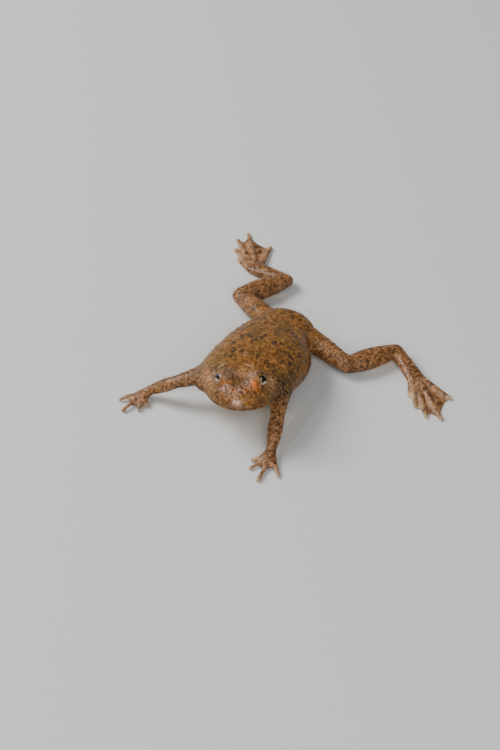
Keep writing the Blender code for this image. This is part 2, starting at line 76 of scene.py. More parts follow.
def through(table, column, x):
    """A smooth cubic curve through one column of a table, read at x."""
    stations, values = table[:, 0], table[:, column]
    slopes = np.gradient(values, stations)
    i = np.clip(np.searchsorted(stations, x, side="right") - 1, 0, len(stations) - 2)
    span = stations[i + 1] - stations[i]
    t = (x - stations[i]) / span
    start = values[i] * (1 + 2 * t) * (1 - t) ** 2 + slopes[i] * span * t * (1 - t) ** 2
    end = values[i + 1] * t * t * (3 - 2 * t) + slopes[i + 1] * span * t * t * (t - 1)
    return start + end


def body_sizes(back):
    """Half width, height and depth of the body, rounded by a circle at snout and rump."""
    front = np.clip(1.0 - back / SNOUT_ROUND, 0.0, 1.0)
    rear = np.clip(1.0 - (BODY_LENGTH - back) / RUMP_ROUND, 0.0, 1.0)
    rounding = np.sqrt(1.0 - front**2) * np.sqrt(1.0 - rear**2)
    return [through(BODY_SECTIONS, column, back) * rounding for column in (1, 2, 3)]


def bent(back, angles, bends):
    """The head's angle, eased into the trunk's and then the rump's. Each bend has its start
    behind the snout and its length."""
    neck, rump = [ease((back - start) / length) for start, length in bends]
    return np.radians(angles[0] + (angles[1] - angles[0]) * neck + (angles[2] - angles[1]) * rump)


def body_axis():
    """The bent axis: unit headings from yaw and pitch, added up step by step."""
    back = np.linspace(0.0, BODY_LENGTH, AXIS_STEPS)
    yaw, pitch = bent(back, BODY_YAWS, YAW_BENDS), bent(back, BODY_PITCHES, PITCH_BENDS)
    flat = np.cos(pitch)
    heading = np.stack([-np.sin(yaw) * flat, np.cos(yaw) * flat, -np.sin(pitch)], 1)
    places = np.zeros((AXIS_STEPS, 3))
    places[1:] = np.cumsum((heading[1:] + heading[:-1]) / 2, axis=0) * back[1]
    across = np.stack([np.cos(yaw), np.sin(yaw), 0 * yaw], 1)
    bulge = SIDE_BULGE * np.exp(-(((back - SIDE_BULGE_AT) / SIDE_BULGE_LENGTH) ** 2))
    places += across * bulge[:, None]
    places[:, 2] -= (places[:, 2] - body_sizes(back)[2]).min() + BELLY_SINK
    return back, places, heading, across


AXIS = body_axis()


def body_point(back, out, up):
    """Points beside the axis: axis place + out * across + up * (across x heading)."""
    back, out, up = np.broadcast_arrays(back, out, up)
    place, heading, across = [
        np.stack([np.interp(back, AXIS[0], rows[:, k]) for k in range(3)], -1)
        for rows in AXIS[1:]]
    return place + across * out[..., None] + np.cross(across, heading) * up[..., None]


def body_surface(back, turn):
    """The body's skin at a distance behind the snout and a turn: 0 is the toad's left
    side and 90 degrees its back. Each ring is a squarish ellipse with two brow swellings."""
    wide, high, deep = body_sizes(back)
    turn = np.radians(turn)
    x = np.abs(np.cos(turn)) ** RING_POWER * np.sign(np.cos(turn)) * wide
    z = np.abs(np.sin(turn)) ** RING_POWER * np.where(np.sin(turn) > 0, high, -deep)
    brow = BROW_LIFT * np.exp(-(((back - EYE_BACK) / BROW_LENGTH) ** 2))
    brow = brow * np.exp(-(((np.abs(x) - BROW_OUT) / BROW_WIDTH) ** 2))
    return body_point(back, x, z + np.where(z > 0, brow, 0.0))


def tube(rings):
    """A closed tube: neighbouring rings are joined by triangles, and each end is closed by
    a fan about the mean of its ring. The enclosed volume is made positive."""
    count, sides = rings.shape[:2]
    points = np.concatenate([rings.reshape(-1, 3), rings[:1].mean(1), rings[-1:].mean(1)])
    k = np.arange(sides)
    after = (k + 1) % sides
    row = np.arange(count - 1)[:, None] * sides
    lower = np.stack([row + k, row + after, row + sides + after], -1).reshape(-1, 3)
    upper = np.stack([row + k, row + sides + after, row + sides + k], -1).reshape(-1, 3)
    last = (count - 1) * sides
    caps = [np.stack([after, k, 0 * k + count * sides], -1),
            np.stack([last + k, last + after, 0 * k + count * sides + 1], -1)]
    triangles = np.concatenate([lower, upper, *caps])
    a, b, c = [points[triangles[:, corner]] for corner in range(3)]
    inside_out = np.einsum("ij,ij->", a, np.cross(b, c)) < 0
    return points, triangles[:, ::-1] if inside_out else triangles


def unit(vector):
    """A vector divided by its own length."""
    return vector / np.linalg.norm(vector)


def eye_frame(side):
    """Centre of an eyeball with its gaze, its forward axis and its up axis."""
    centre = body_point(EYE_BACK, EYE_OUT * side, EYE_UP)
    here = body_point(EYE_BACK, 0.0, 0.0)
    ahead = body_point(EYE_BACK - 1.0, 0.0, 0.0) - here
    out = body_point(EYE_BACK, side, 0.0) - here
    up = body_point(EYE_BACK, 0.0, 1.0) - here
    gaze = unit(out * GAZE[0] + ahead * GAZE[1] + up * GAZE[2])
    forward = unit(ahead - gaze * (ahead @ gaze))
    above = np.cross(gaze, forward)
    return centre, gaze, forward, above * np.sign(above @ up)


# Skin, over the limbs. Each limb is a chain of tapered lengths laid down as in the picture,
# and ends in thin knuckled fingers, or in longer toes that webs join.
UPPER_ARM, FOREARM, PALM_LENGTH = 8.3, 8.6, 3.6
UPPER_ARM_RINGS = np.array([(0.0, 3.2, 2.8), (0.5, 2.35, 2.0), (1.0, 1.75, 1.55)])
FOREARM_RINGS = np.array([
    (0.0, 1.7, 1.5), (0.35, 1.85, 1.55), (0.75, 1.5, 1.25), (1.0, 1.25, 1.05)])
PALM_RINGS = np.array([(0.0, 1.25, 1.05), (0.5, 1.95, 1.05), (1.0, 2.1, 0.85)])
FINGERS = {"reach": (5.2, 7.2, 9.8, 8.0), "turn": (-47.0, -26.0, 0.0, 31.0),
           "root": (-1.35, -0.6, 0.35, 1.3), "radii": (0.78, 0.62, 0.5, 0.52)}
FEMUR, TIBIA, TARSUS = 14.4, 13.3, 10.4
THIGH_RINGS = np.array([(0.0, 2.9, 2.7), (0.4, 2.8, 2.6), (0.8, 2.3, 2.2), (1.0, 2.1, 2.0)])
SHANK_RINGS = np.array([(0.0, 2.1, 2.0), (0.4, 2.7, 2.4), (0.75, 2.3, 2.0), (1.0, 1.75, 1.6)])
TARSUS_RINGS = np.array([(0.0, 1.75, 1.5), (0.4, 1.8, 1.35), (1.0, 2.3, 1.15)])
TOES = {"reach": (6.0, 9.8, 13.4, 15.2, 10.4), "turn": (-38.0, -24.0, -13.0, 0.0, 30.0),
        "root": (-1.4, -0.8, -0.1, 0.6, 1.4), "radii": (0.8, 0.62, 0.5, 0.5)}
KNUCKLE_PLACES = (0.0, 0.4, 0.75, 1.0)
SWELLINGS = ((0.45, 0.06, 0.12), (0.74, 0.05, 0.12), (0.94, 0.04, 0.14))
DIGIT_SLIM, PAD_FROM, PAD_ROUND = 0.04, 0.93, 0.0705
DIGIT_ROOT_HEIGHT, DIGIT_TIP_HEIGHT, CURL_LIFT = 0.9, 0.42, 5.0
FAN_SET_BACK = 0.3
WEB_TOP, WEB_SAG, WEB_UNDER, WEB_REACH, WEB_SCALLOP = 0.55, 0.2, -0.5, 0.92, 0.84
ARM_ROOT, LEG_ROOT = (14.4, 8.2, 8.0), (40.0, 4.2, 4.2)
PALM_HEIGHT, FINGERS_FROM, TOES_FROM = 0.8, 0.7, 0.2
ARM_POSE = {1: ((-78.0, -84.0), (6.0, 1.55), -92.0, 0.0),
            -1: ((-157.0, -177.0), (6.0, 1.55), -115.0, 0.2)}
LEG_POSE = {1: ((-26.0, 46.0, -48.0), (2.6, 1.9, 1.0), -52.0),
            -1: ((139.0, 48.0, 159.0), (2.7, 2.0, 1.0), 113.0)}


def bone_surface(start, end, table, place, turn):
    """A limb's skin at a place from 0 to 1 along a bone and a turn about it: an ellipse of
    the table's half thicknesses, shrunk as a quarter circle past each joint."""
    along = unit(end - start)
    across = unit(np.cross((0.0, 0.0, 1.0), along))
    above = np.cross(along, across)
    place, turn = np.broadcast_arrays(place, np.radians(turn))
    inside = np.clip(place, 0.0, 1.0)
    wide, high = through(table, 1, inside), through(table, 2, inside)
    past = np.clip(place - inside, -1.0, 1.0)
    size = np.sqrt(1.0 - np.clip(np.abs(past), 0.0, 0.999) ** 2)
    centre = start + (end - start) * inside[..., None]
    centre = centre + along * (past * (wide + high) / 2)[..., None]
    ring = across * (np.cos(turn) * wide * size)[..., None]
    return centre + ring + above * (np.sin(turn) * high * size)[..., None]


def joint_step(start, yaw, length, height):
    """The next joint, a bone's length away at a given yaw and height over the floor."""
    flat = math.sqrt(length**2 - (height - start[2]) ** 2)
    turn = math.radians(yaw)
    return np.array((start[0] + flat * math.cos(turn), start[1] + flat * math.sin(turn), height))


def digit_tube(root, tip, radii, curl):
    """A finger or toe: circles along a line from root to tip that dips to the floor, with
    a swelling at each knuckle and at the pad, and an end rounded as a quarter circle."""
    pad = 1.0 - (1.0 - PAD_FROM) * (1.0 - np.linspace(0.0, 1.0, 9)[1:]) ** 2
    place = np.concatenate([np.linspace(0.0, PAD_FROM, 30), pad])
    table = np.stack([KNUCKLE_PLACES, radii], 1)
    radius = through(table, 1, place)
    swelling = sum(rise * np.exp(-(((place - at) / wide) ** 2)) for at, wide, rise in SWELLINGS)
    radius = radius * (1.0 - DIGIT_SLIM + swelling)
    radius = radius * np.sqrt(1.0 - np.clip((place - PAD_FROM) / PAD_ROUND, 0.0, 1.0) ** 2)
    arch = DIGIT_ROOT_HEIGHT * (1.0 - place) + DIGIT_TIP_HEIGHT * place
    arch += curl * CURL_LIFT * place * (1.0 - place)
    centre = root + (tip - root) * (place * (1.0 - curl * place))[:, None]
    centre[:, 2] += arch
    heading = unit(tip - root)
    across = np.array((-heading[1], heading[0], 0.0))
    turn = np.linspace(0.0, 2.0 * math.pi, 20, endpoint=False)[None, :, None]
    circle = across * np.cos(turn) + np.array((0.0, 0.0, 1.0)) * np.sin(turn)
    return tube(centre[:, None, :] + circle * radius[:, None, None])


def digit_lines(origin, yaw, side, ahead, fan):
    """Root and tip of each digit's centre line, fanned about the wrist or the sole."""
    heading = np.array((math.cos(math.radians(yaw)), math.sin(math.radians(yaw)), 0.0))
    outward = np.array((-heading[1], heading[0], 0.0)) * side
    base = np.array((origin[0], origin[1], 0.0))
    lines = []
    for reach, turn, root in zip(fan["reach"], fan["turn"], fan["root"]):
        own = math.radians(yaw + turn * side)
        tip = base + reach * np.array((math.cos(own), math.sin(own), 0.0))
        lines.append((base + heading * (ahead - FAN_SET_BACK * abs(root)) + outward * root, tip))
    return lines


def web_sheet(first, second):
    """The web between two toes: a sheet ruled from root to a hollow free edge (a quadratic
    curve), sagging as a half sine between the toes, and closed below the floor."""
    (root_a, tip_a), (root_b, tip_b) = first, second
    reach_a = root_a + (tip_a - root_a) * WEB_REACH
    reach_b = root_b + (tip_b - root_b) * WEB_REACH
    middle = (root_a + root_b) / 2 + ((tip_a + tip_b) / 2 - (root_a + root_b) / 2) * WEB_SCALLOP
    pull = 2.0 * middle - (reach_a + reach_b) / 2
    s = np.linspace(0.0, 1.0, 17)[:, None, None]
    t = np.linspace(0.0, 1.0, 25)[None, :, None]
    edge = reach_a * (1 - s) ** 2 + pull * 2 * s * (1 - s) + reach_b * s * s
    root = root_a * (1 - s) + root_b * s
    top = root + (edge - root) * t
    top[..., 2] = (WEB_TOP - WEB_SAG * np.sin(np.pi * s) * t)[..., 0]
    under = top.copy()
    under[..., 2] = WEB_UNDER
    return tube(np.concatenate([top, under[:, ::-1]], 1))


# Skin, its shapes laid together: the body, a mound about each eye, the limbs with digits
# and webs, and a low fold between the right cheek and the shoulder. Each is closed.
BODY_RINGS, BODY_SIDES, END_GAP = 240, 180, 0.02
NECK_FOLD = np.array((-12.4, 10.8, 7.9)), np.array((-9.0, 6.4, 9.2))
NECK_FOLD_RINGS = np.array([(0.0, 2.2, 2.2), (0.5, 1.9, 1.9), (1.0, 1.2, 1.2)])

turns = np.linspace(0.0, 360.0, BODY_SIDES, endpoint=False)
spread = (1.0 - np.cos(np.linspace(0.0, math.pi, BODY_RINGS))) / 2.0
spread = 0.5 * spread + 0.5 * np.linspace(0.0, 1.0, BODY_RINGS)
stops = END_GAP + (BODY_LENGTH - 2.0 * END_GAP) * spread
solids = [tube(body_surface(stops[:, None], turns[None, :]))]
for side in (1, -1):
    centre, gaze, forward, above = eye_frame(side)
    tilt = np.radians(np.linspace(0.5, 179.5, 60))[:, None, None]
    spin = np.radians(np.linspace(0.0, 360.0, 60, endpoint=False))[None, :, None]
    radius = np.minimum(MOUND_RADIUS, MOUND_FLAT / np.maximum(np.cos(tilt), 0.01))
    round_gaze = forward * np.cos(spin) + above * np.sin(spin)
    solids.append(tube(centre + radius * (gaze * np.cos(tilt) + round_gaze * np.sin(tilt))))

bones = []
digits = []
quarter = np.linspace(0.0, math.pi / 2, 9)
along_bone = np.concatenate([-np.cos(quarter), np.linspace(0.02, 0.98, 40), 1.0 + np.sin(quarter)])[:, None]
for side in (1, -1):
    yaws, heights, hand_yaw, curl = ARM_POSE[side]
    shoulder = body_point(ARM_ROOT[0], ARM_ROOT[1] * side, 0.0)
    shoulder[2] = ARM_ROOT[2]
    elbow = joint_step(shoulder, yaws[0], UPPER_ARM, heights[0])
    wrist = joint_step(elbow, yaws[1], FOREARM, heights[1])
    palm_end = joint_step(wrist, hand_yaw, PALM_LENGTH, PALM_HEIGHT)
    bones += [("upper_arm", shoulder, elbow, UPPER_ARM_RINGS),
              ("forearm", elbow, wrist, FOREARM_RINGS), ("palm", wrist, palm_end, PALM_RINGS)]
    fingers = digit_lines(wrist, hand_yaw, side, PALM_LENGTH * FINGERS_FROM, FINGERS)
    digits += fingers
    solids += [digit_tube(root, tip, FINGERS["radii"], curl) for root, tip in fingers]

    yaws, heights, foot_yaw = LEG_POSE[side]
    hip = body_point(LEG_ROOT[0], LEG_ROOT[1] * side, 0.0)
    hip[2] = LEG_ROOT[2]
    knee = joint_step(hip, yaws[0], FEMUR, heights[0])
    ankle = joint_step(knee, yaws[1], TIBIA, heights[1])
    sole = joint_step(ankle, yaws[2], TARSUS, heights[2])
    bones += [("thigh", hip, knee, THIGH_RINGS), ("shank", knee, ankle, SHANK_RINGS),
              ("tarsus", ankle, sole, TARSUS_RINGS)]
    toes = digit_lines(sole, foot_yaw, side, TOES_FROM, TOES)
    digits += toes
    solids += [digit_tube(root, tip, TOES["radii"], 0.0) for root, tip in toes]
    solids += [web_sheet(first, second) for first, second in zip(toes, toes[1:])]
for name, start, end, table in bones:
    solids.append(tube(bone_surface(start, end, table, along_bone, turns[None, ::4])))
solids.append(tube(bone_surface(*NECK_FOLD, NECK_FOLD_RINGS, along_bone, turns[None, ::4])))

# Skin, melted into one surface: the closed solids are laid into one mesh, a voxel remesh
# gives their common outside, and the head gets twice the mesh for its lids and lips.
VOXEL = 0.29
HEAD_LENGTH, HEAD_HALF_WIDTH, HEAD_LOWEST = 10.5, 9.0, 3.0
ELBOW_REACH, WRIST_REACH, ROOT_REACH, ROOT_PLACE = 2.6, 2.0, 4.6, 0.32
MOUND_REACH, MOUND_BELOW, ALL_OVER = 3.0, 0.8, 0.25
JOINT_ROUNDS, ALL_ROUNDS, HEAD_ROUNDS = 40, 16, 3

offsets = np.cumsum([0] + [len(points) for points, triangles in solids])
points = np.concatenate([points for points, triangles in solids])
triangles = np.concatenate([faces + offset for (made, faces), offset in zip(solids, offsets)])
melt = bpy.data.meshes.new("melt")
melt.from_pydata(points, [], triangles.tolist())
skin = bpy.data.objects.new("skin", melt)
bpy.context.scene.collection.objects.link(skin)
remesh = skin.modifiers.new("melt", "REMESH")
remesh.mode = "VOXEL"
remesh.voxel_size = VOXEL
bpy.context.view_layer.update()
melted = bpy.data.meshes.new_from_object(skin.evaluated_get(bpy.context.evaluated_depsgraph_get()))
skin.modifiers.clear()
skin.data = melted
bpy.data.meshes.remove(melt)


def read_points(mesh):
    """All vertex places of a mesh as one array."""
    flat = np.empty(len(mesh.vertices) * 3)
    mesh.vertices.foreach_get("co", flat)
    return flat.reshape(-1, 3)


def write_points(mesh, places):
    """Put an array of vertex places into a mesh."""
    mesh.vertices.foreach_set("co", places.ravel())
    mesh.update()


def read_normals(mesh):
    """All vertex normals of a mesh as one array."""
    flat = np.empty(len(mesh.vertices) * 3)
    mesh.vertex_normals.foreach_get("vector", flat)
    return flat.reshape(-1, 3)


def relax(mesh, weight, rounds):
    """Smooth a mesh: each point moves half way to the mean of its neighbours, times its
    weight, as often as rounds says."""
    places = read_points(mesh)
    edges = np.empty(len(mesh.edges) * 2, dtype=np.int32)
    mesh.edges.foreach_get("vertices", edges)
    ends = np.concatenate([edges[0::2], edges[1::2]])
    others = np.concatenate([edges[1::2], edges[0::2]])
    count = np.bincount(ends, minlength=len(places))[:, None]
    for _ in range(rounds):
        total = np.stack([np.bincount(ends, places[others, k], len(places)) for k in range(3)], 1)
        places = places + (total / count - places) * 0.5 * weight[:, None]
    write_points(mesh, places)


def near(places, centre, radius):
    """A bell of height 1 about a centre: e to the minus square of distance over radius."""
    return np.exp(-(((places - centre) ** 2).sum(-1) / radius**2))


joints = [(NECK_FOLD[0], ELBOW_REACH), (NECK_FOLD[1], WRIST_REACH)]
for name, start, end, table in bones:
    if name in ("upper_arm", "thigh"):
        joints.append((end, ELBOW_REACH))
        root = bone_surface(start, end, table, ROOT_PLACE, 90.0)
        joints.append((np.array((root[0], root[1], start[2])), ROOT_REACH))
    else:
        joints.append((end, WRIST_REACH))
places = read_points(melted)
weight = np.zeros(len(places))
for centre, radius in joints:
    weight = np.maximum(weight, near(places, centre, radius))
relax(melted, weight, JOINT_ROUNDS)
weight = np.full(len(places), ALL_OVER)
for side in (1, -1):
    centre, gaze = eye_frame(side)[:2]
    weight = np.maximum(weight, near(places, centre - gaze * MOUND_BELOW, MOUND_REACH))
relax(melted, weight, ALL_ROUNDS)

fine = bmesh.new()
fine.from_mesh(melted)
snout = Vector(body_point(0.0, 0.0, 0.0))
along_head = Vector(AXIS[2][0])
in_head = {vert for vert in fine.verts if (vert.co - snout).dot(along_head) < HEAD_LENGTH
           and abs(vert.co.x) < HEAD_HALF_WIDTH and vert.co.z > HEAD_LOWEST}
head_edges = [edge for edge in fine.edges if all(vert in in_head for vert in edge.verts)]
bmesh.ops.subdivide_edges(fine, edges=head_edges, cuts=1, use_grid_fill=True)
fine.to_mesh(melted)
fine.free()
relax(melted, near(read_points(melted), body_point(5.0, 0.0, 1.0), 9.0), HEAD_ROUNDS)

# Skin, its relief: lids drawn tight round the eyes, the crease of the mouth between full
# lips, nostrils in low rings, and warts, which are larger on the back than on the limbs.
LID_FORWARD, LID_UP = math.radians(50.0), math.radians(45.0)
LID_INSIDE, LID_LIP, LID_UPPER_MORE = 1.5, 2.14, 0.16
LID_EDGE, LID_FADE, LID_REACH = (0.86, 0.2), (1.12, 0.5), 3.4
MOUTH_END, MOUTH_DROP = 10.0, 0.4
CREASE_WIDTH, CREASE_DEPTH = 0.17, 0.24
LIP_AT, LIP_WIDTH, LIP_RISE = 0.55, 0.35, 0.14
NOSTRIL_BACK, NOSTRIL_OUT, NOSTRIL_WIDTH, NOSTRIL_DEPTH = 2.5, 1.4, 0.22, 0.4
RING_AT, RING_WIDTH, RING_RISE = 0.42, 0.15, 0.07
BROW_FOLD = np.array([(76.0, 10.0), (87.0, 11.2), (96.0, 11.4), (115.0, 11.0), (130.0, 9.4)])
BROW_FOLD_STEP, BROW_FOLD_WIDTH, BROW_FOLD_RISE = 0.75, 1.1, 0.08
EYE_FOLD = np.array([(4.0, 9.0), (30.0, 8.1), (60.0, 8.3), (78.0, 8.3)])
EYE_FOLD_RISE, EYE_FOLD_DEPTH = 0.12, 0.1
RING_WART, RING_WART_RISE, RING_WART_DEPTH = (8.5, 100.0), 0.1, 0.06
BACK_WARTS, BACK_WART_SMALL, BACK_WART_LARGE = 64, 0.42, 0.8
BACK_WARTS_FROM, BACK_WARTS_RUN, BACK_WARTS_TURN = 14.0, 28.0, 70.0
SMALL_WARTS, LIMB_WARTS = 899, 59
BACK_WART_HEIGHT, SMALL_WART_HEIGHT, LIMB_WART_HEIGHT = 0.45, 0.3, 0.28
WART_STEPS = np.array((0.7548777, 0.5698403, 0.3819660))


def draw_lids(places, side):
    """Lids as a radius about the eyeball's centre that depends on the angle from the gaze,
    measured in openings: inside the eyeball, up to a rounded lip, then back to the mound."""
    centre, gaze, forward, above = eye_frame(side)
    ray = places - centre
    radius = np.linalg.norm(ray, axis=1)
    ray = ray / radius[:, None]
    angle = np.arccos(np.clip(ray @ gaze, -1.0, 1.0))
    fore, up = ray @ forward, ray @ above
    flat = np.maximum(np.hypot(fore, up), 1e-6)
    openings = angle * np.hypot(fore / flat / LID_FORWARD, up / flat / LID_UP)
    lip = LID_LIP + LID_UPPER_MORE * ease(up / flat)
    drawn = LID_INSIDE + (lip - LID_INSIDE) * ease((openings - LID_EDGE[0]) / LID_EDGE[1])
    own = ease((openings - LID_FADE[0]) / LID_FADE[1])
    drawn = drawn * (1.0 - own) + radius * own
    drawn = np.where(radius < LID_REACH, drawn, radius)
    return centre + ray * drawn[:, None]


def nearest(places, line):
    """Distance from each point to the nearest of a line's points."""
    gaps = np.full(len(places), np.inf)
    for spot in line:
        gaps = np.minimum(gaps, ((places - spot) ** 2).sum(-1))
    return np.sqrt(gaps)


def ridge(distance, at, width):
    """A bell of height 1 at a distance: e to the minus square of the offset over width."""
    return np.exp(-(((distance - at) / width) ** 2))


def patches(places, rows):
    """Soft round patches on the body, of which the strongest counts. Each row has its
    distance behind the snout, its turn, its radius and its strength."""
    values = np.zeros(len(places))
    for back, turn, radius, strength in rows:
        values = np.maximum(values, strength * near(places, body_surface(back, turn), radius))
    return values


places = read_points(melted)
for side in (1, -1):
    places = draw_lids(places, side)
write_points(melted, places)
normals = read_normals(melted)

mouth_turn = np.radians(np.linspace(-90.0, 90.0, 160))
mouth_back = MOUTH_END * (1.0 - np.cos(mouth_turn)) + 0.01
mouth = body_point(mouth_back, np.copysign(body_sizes(mouth_back)[0], mouth_turn), -MOUTH_DROP)
to_mouth = nearest(places, mouth)
crease = ridge(to_mouth, 0.0, CREASE_WIDTH)
lips = ridge(to_mouth, LIP_AT, LIP_WIDTH)
relief = LIP_RISE * lips - CREASE_DEPTH * crease

wide, high, deep = body_sizes(NOSTRIL_BACK)
lift = high * math.sqrt(1.0 - (NOSTRIL_OUT / wide) ** 2)
nostrils = np.stack([body_point(NOSTRIL_BACK, NOSTRIL_OUT * side, lift) for side in (1, -1)])
to_nostril = nearest(places, nostrils)
nostril = ridge(to_nostril, 0.0, NOSTRIL_WIDTH)
ring = ridge(to_nostril, RING_AT, RING_WIDTH)
relief += RING_RISE * ring - NOSTRIL_DEPTH * nostril

fold_turn = np.linspace(BROW_FOLD[0, 0], BROW_FOLD[-1, 0], 70)
brow_fold = body_surface(np.interp(fold_turn, BROW_FOLD[:, 0], BROW_FOLD[:, 1]), fold_turn)
fold_turn = np.linspace(EYE_FOLD[0, 0], EYE_FOLD[-1, 0], 90)
eye_fold = body_surface(np.interp(fold_turn, EYE_FOLD[:, 0], EYE_FOLD[:, 1]), fold_turn)
to_fold = nearest(places, brow_fold)
wrinkles = np.cos(2.0 * math.pi * to_fold / BROW_FOLD_STEP)
relief += BROW_FOLD_RISE * wrinkles * ridge(to_fold, 0.0, BROW_FOLD_WIDTH)
to_eye_fold = nearest(places, eye_fold)
relief += EYE_FOLD_RISE * ridge(to_eye_fold, 0.0, 0.4) - EYE_FOLD_DEPTH * ridge(to_eye_fold, 0.8, 0.35)
to_ring_wart = nearest(places, [body_surface(*RING_WART)])
ring_wart_moat = ridge(to_ring_wart, 0.6, 0.2)
relief += RING_WART_RISE * ridge(to_ring_wart, 0.0, 0.35) - RING_WART_DEPTH * ring_wart_moat


def spread_rule(count):
    """Three even spreads from 0 to 1: the fractions of whole multiples of three steps."""
    return (np.arange(1, count + 1)[:, None] * WART_STEPS % 1.0).T


sown = []
first, second, third = spread_rule(BACK_WARTS)
wart_back = BACK_WARTS_FROM + BACK_WARTS_RUN * first
wart_turn = np.radians(BACK_WARTS_TURN * (2.0 * second - 1.0))
wart_radius = BACK_WART_SMALL + (BACK_WART_LARGE - BACK_WART_SMALL) * third
wide, high, deep = body_sizes(wart_back)
large = body_point(wart_back, wide * np.sin(wart_turn), high * np.cos(wart_turn))
sown.append((large, wart_radius * 0.95, wart_radius * BACK_WART_HEIGHT))
first, second, third = spread_rule(SMALL_WARTS)
wart_back = 1.0 + 43.0 * first
small = body_surface(wart_back, -15.0 + 210.0 * second)
wart_radius = 0.26 + (0.04 + 0.26 * third**2) * ease(wart_back / 14.0)
sown.append((small, wart_radius, wart_radius * SMALL_WART_HEIGHT))
first, second, third = spread_rule(LIMB_WARTS)
wart_radius = 0.24 + 0.2 * third**2
for name, start, end, table in bones:
    if name != "palm":
        small = bone_surface(start, end, table, first, 205.0 * second - 12.0)
        sown.append((small, wart_radius, wart_radius * LIMB_WART_HEIGHT))
centres, radii, heights = [np.concatenate(columns) for columns in zip(*sown)]

wart = np.zeros(len(places))
wart_rise = np.zeros(len(places))
for centre, radius, height in zip(centres, radii, heights):
    ray = places - centre
    gap = ray[:, 0] ** 2 + ray[:, 1] ** 2 + ray[:, 2] ** 2
    close = np.flatnonzero(gap < (1.6 * radius + 0.5) ** 2)
    along = (ray[close] * normals[close]).sum(-1)
    beside = np.sqrt(np.maximum(gap[close] - along**2, 0.0)) / radius
    dome = np.clip(1.0 - beside**2, 0.0, 1.0) ** 1.5
    wart_rise[close] = np.maximum(wart_rise[close], height * dome)
    wart[close] = np.maximum(wart[close], np.clip(1.0 - beside, 0.0, 1.0))
calm = np.zeros(len(places))
for side in (1, -1):
    calm = np.maximum(calm, near(places, eye_frame(side)[0] + eye_frame(side)[1] * 1.6, 2.0))
calm = np.maximum(calm, np.clip(crease + 0.6 * lips + nostril + ring, 0.0, 1.0))
wart_rise *= 1.0 - calm
wart *= 1.0 - calm
places = places + normals * (relief + wart_rise)[:, None]

# Skin, where its colours lie. Patches on the head are rows of distance behind the snout,
# turn, radius and strength. Belly, face, limbs and digits have their own zones.
# The cheek tint darkens the toad's left cheek. It is partly the cheek's dark skin and partly painted shade
# of the side turned from the key light.
CHEEK = ((9.8, 10.0, 3.1, 1.0), (7.9, 4.0, 1.9, 1.0))
CHEEK_CALM = 0.7
FRECKLES = ((8.0, 185.0, 2.2, 1.0),)
FRECKLED_FOLD, FRECKLED_FOLD_REACH = NECK_FOLD[0] + (-0.8, -2.2, 0.2), 2.6
# Saddle: painted shade, a darker tint in the dip between the eyes.
SADDLE_SHADE = ((4.7, 97.0, 1.0, 1.0), (4.9, 88.0, 0.9, 1.0))
MARKS = ((4.1, 67.0, 0.6, 0.9), (3.55, 60.0, 0.75, 1.0), (3.15, 50.0, 0.6, 0.9),
         (4.1, 124.0, 0.6, 0.75), (3.8, 114.0, 0.55, 0.7))
# Pale spots: painted glints on the upper lip, over lip skin that is partly paler, and on one wart of the
# back.
PALE_AND_GLINT_SPOTS = ((15.5, 94.0, 0.35, 0.9), (0.35, 122.0, 0.5, 0.9), (0.25, 104.0, 0.6, 0.9),
        (0.25, 88.0, 0.5, 0.9))
# Painted glints along the brow wrinkles and along the fold behind the eyes.
GLINT_STREAKS = ((10.9, 117.0, 1.0, 0.5), (10.9, 84.0, 1.1, 0.5))
EYE_FOLD_GLINT = ((8.2, 52.0, 3.0, 0.3),)
# Mauve: a painted reflection, the greyish pink sheen of the sky on the wet snout and lids.
MAUVE_SHEEN = ((2.4, 93.0, 1.0, 0.8), (2.7, 123.0, 1.1, 0.8), (1.8, 120.0, 0.9, 0.6),
         (3.7, 76.0, 1.0, 0.7), (5.2, 117.0, 1.2, 1.0), (6.2, 69.0, 1.1, 0.5))
OCHRE = ((0.7, 64.0, 1.0, 1.0), (0.6, 36.0, 1.0, 1.0))
# Tan: partly lighter skin, partly painted light that lightens places in shade beside the brow, on the
# snout, on the crown and on the cheek turned from the key light.
TAN_AND_PAINTED_LIGHT = ((6.9, 40.0, 1.7, 1.0), (7.6, 150.0, 2.6, 0.5), (5.4, 111.0, 0.9, 0.6),
       (1.2, 100.0, 1.2, 0.6), (8.0, 92.0, 1.8, 0.45))
FACE_LENGTH, FACE_FADE, FACE_STRENGTH = 11.5, 3.0, 0.8
LIMB_REACH, LIMB_FADE, LIMB_START, LIMB_RUN = 3.9, 1.2, 0.22, 0.35
DIGIT_REACH, DIGIT_FADE, TIP_REACH = 2.6, 1.4, 1.5


def along_line(places, start, end):
    """How far along a line each point lies, from 0 to 1, and its offset from that place."""
    run = end - start
    along = np.clip(((places - start) @ run) / (run @ run), 0.0, 1.0)
    return along, places - start - run * along[:, None]


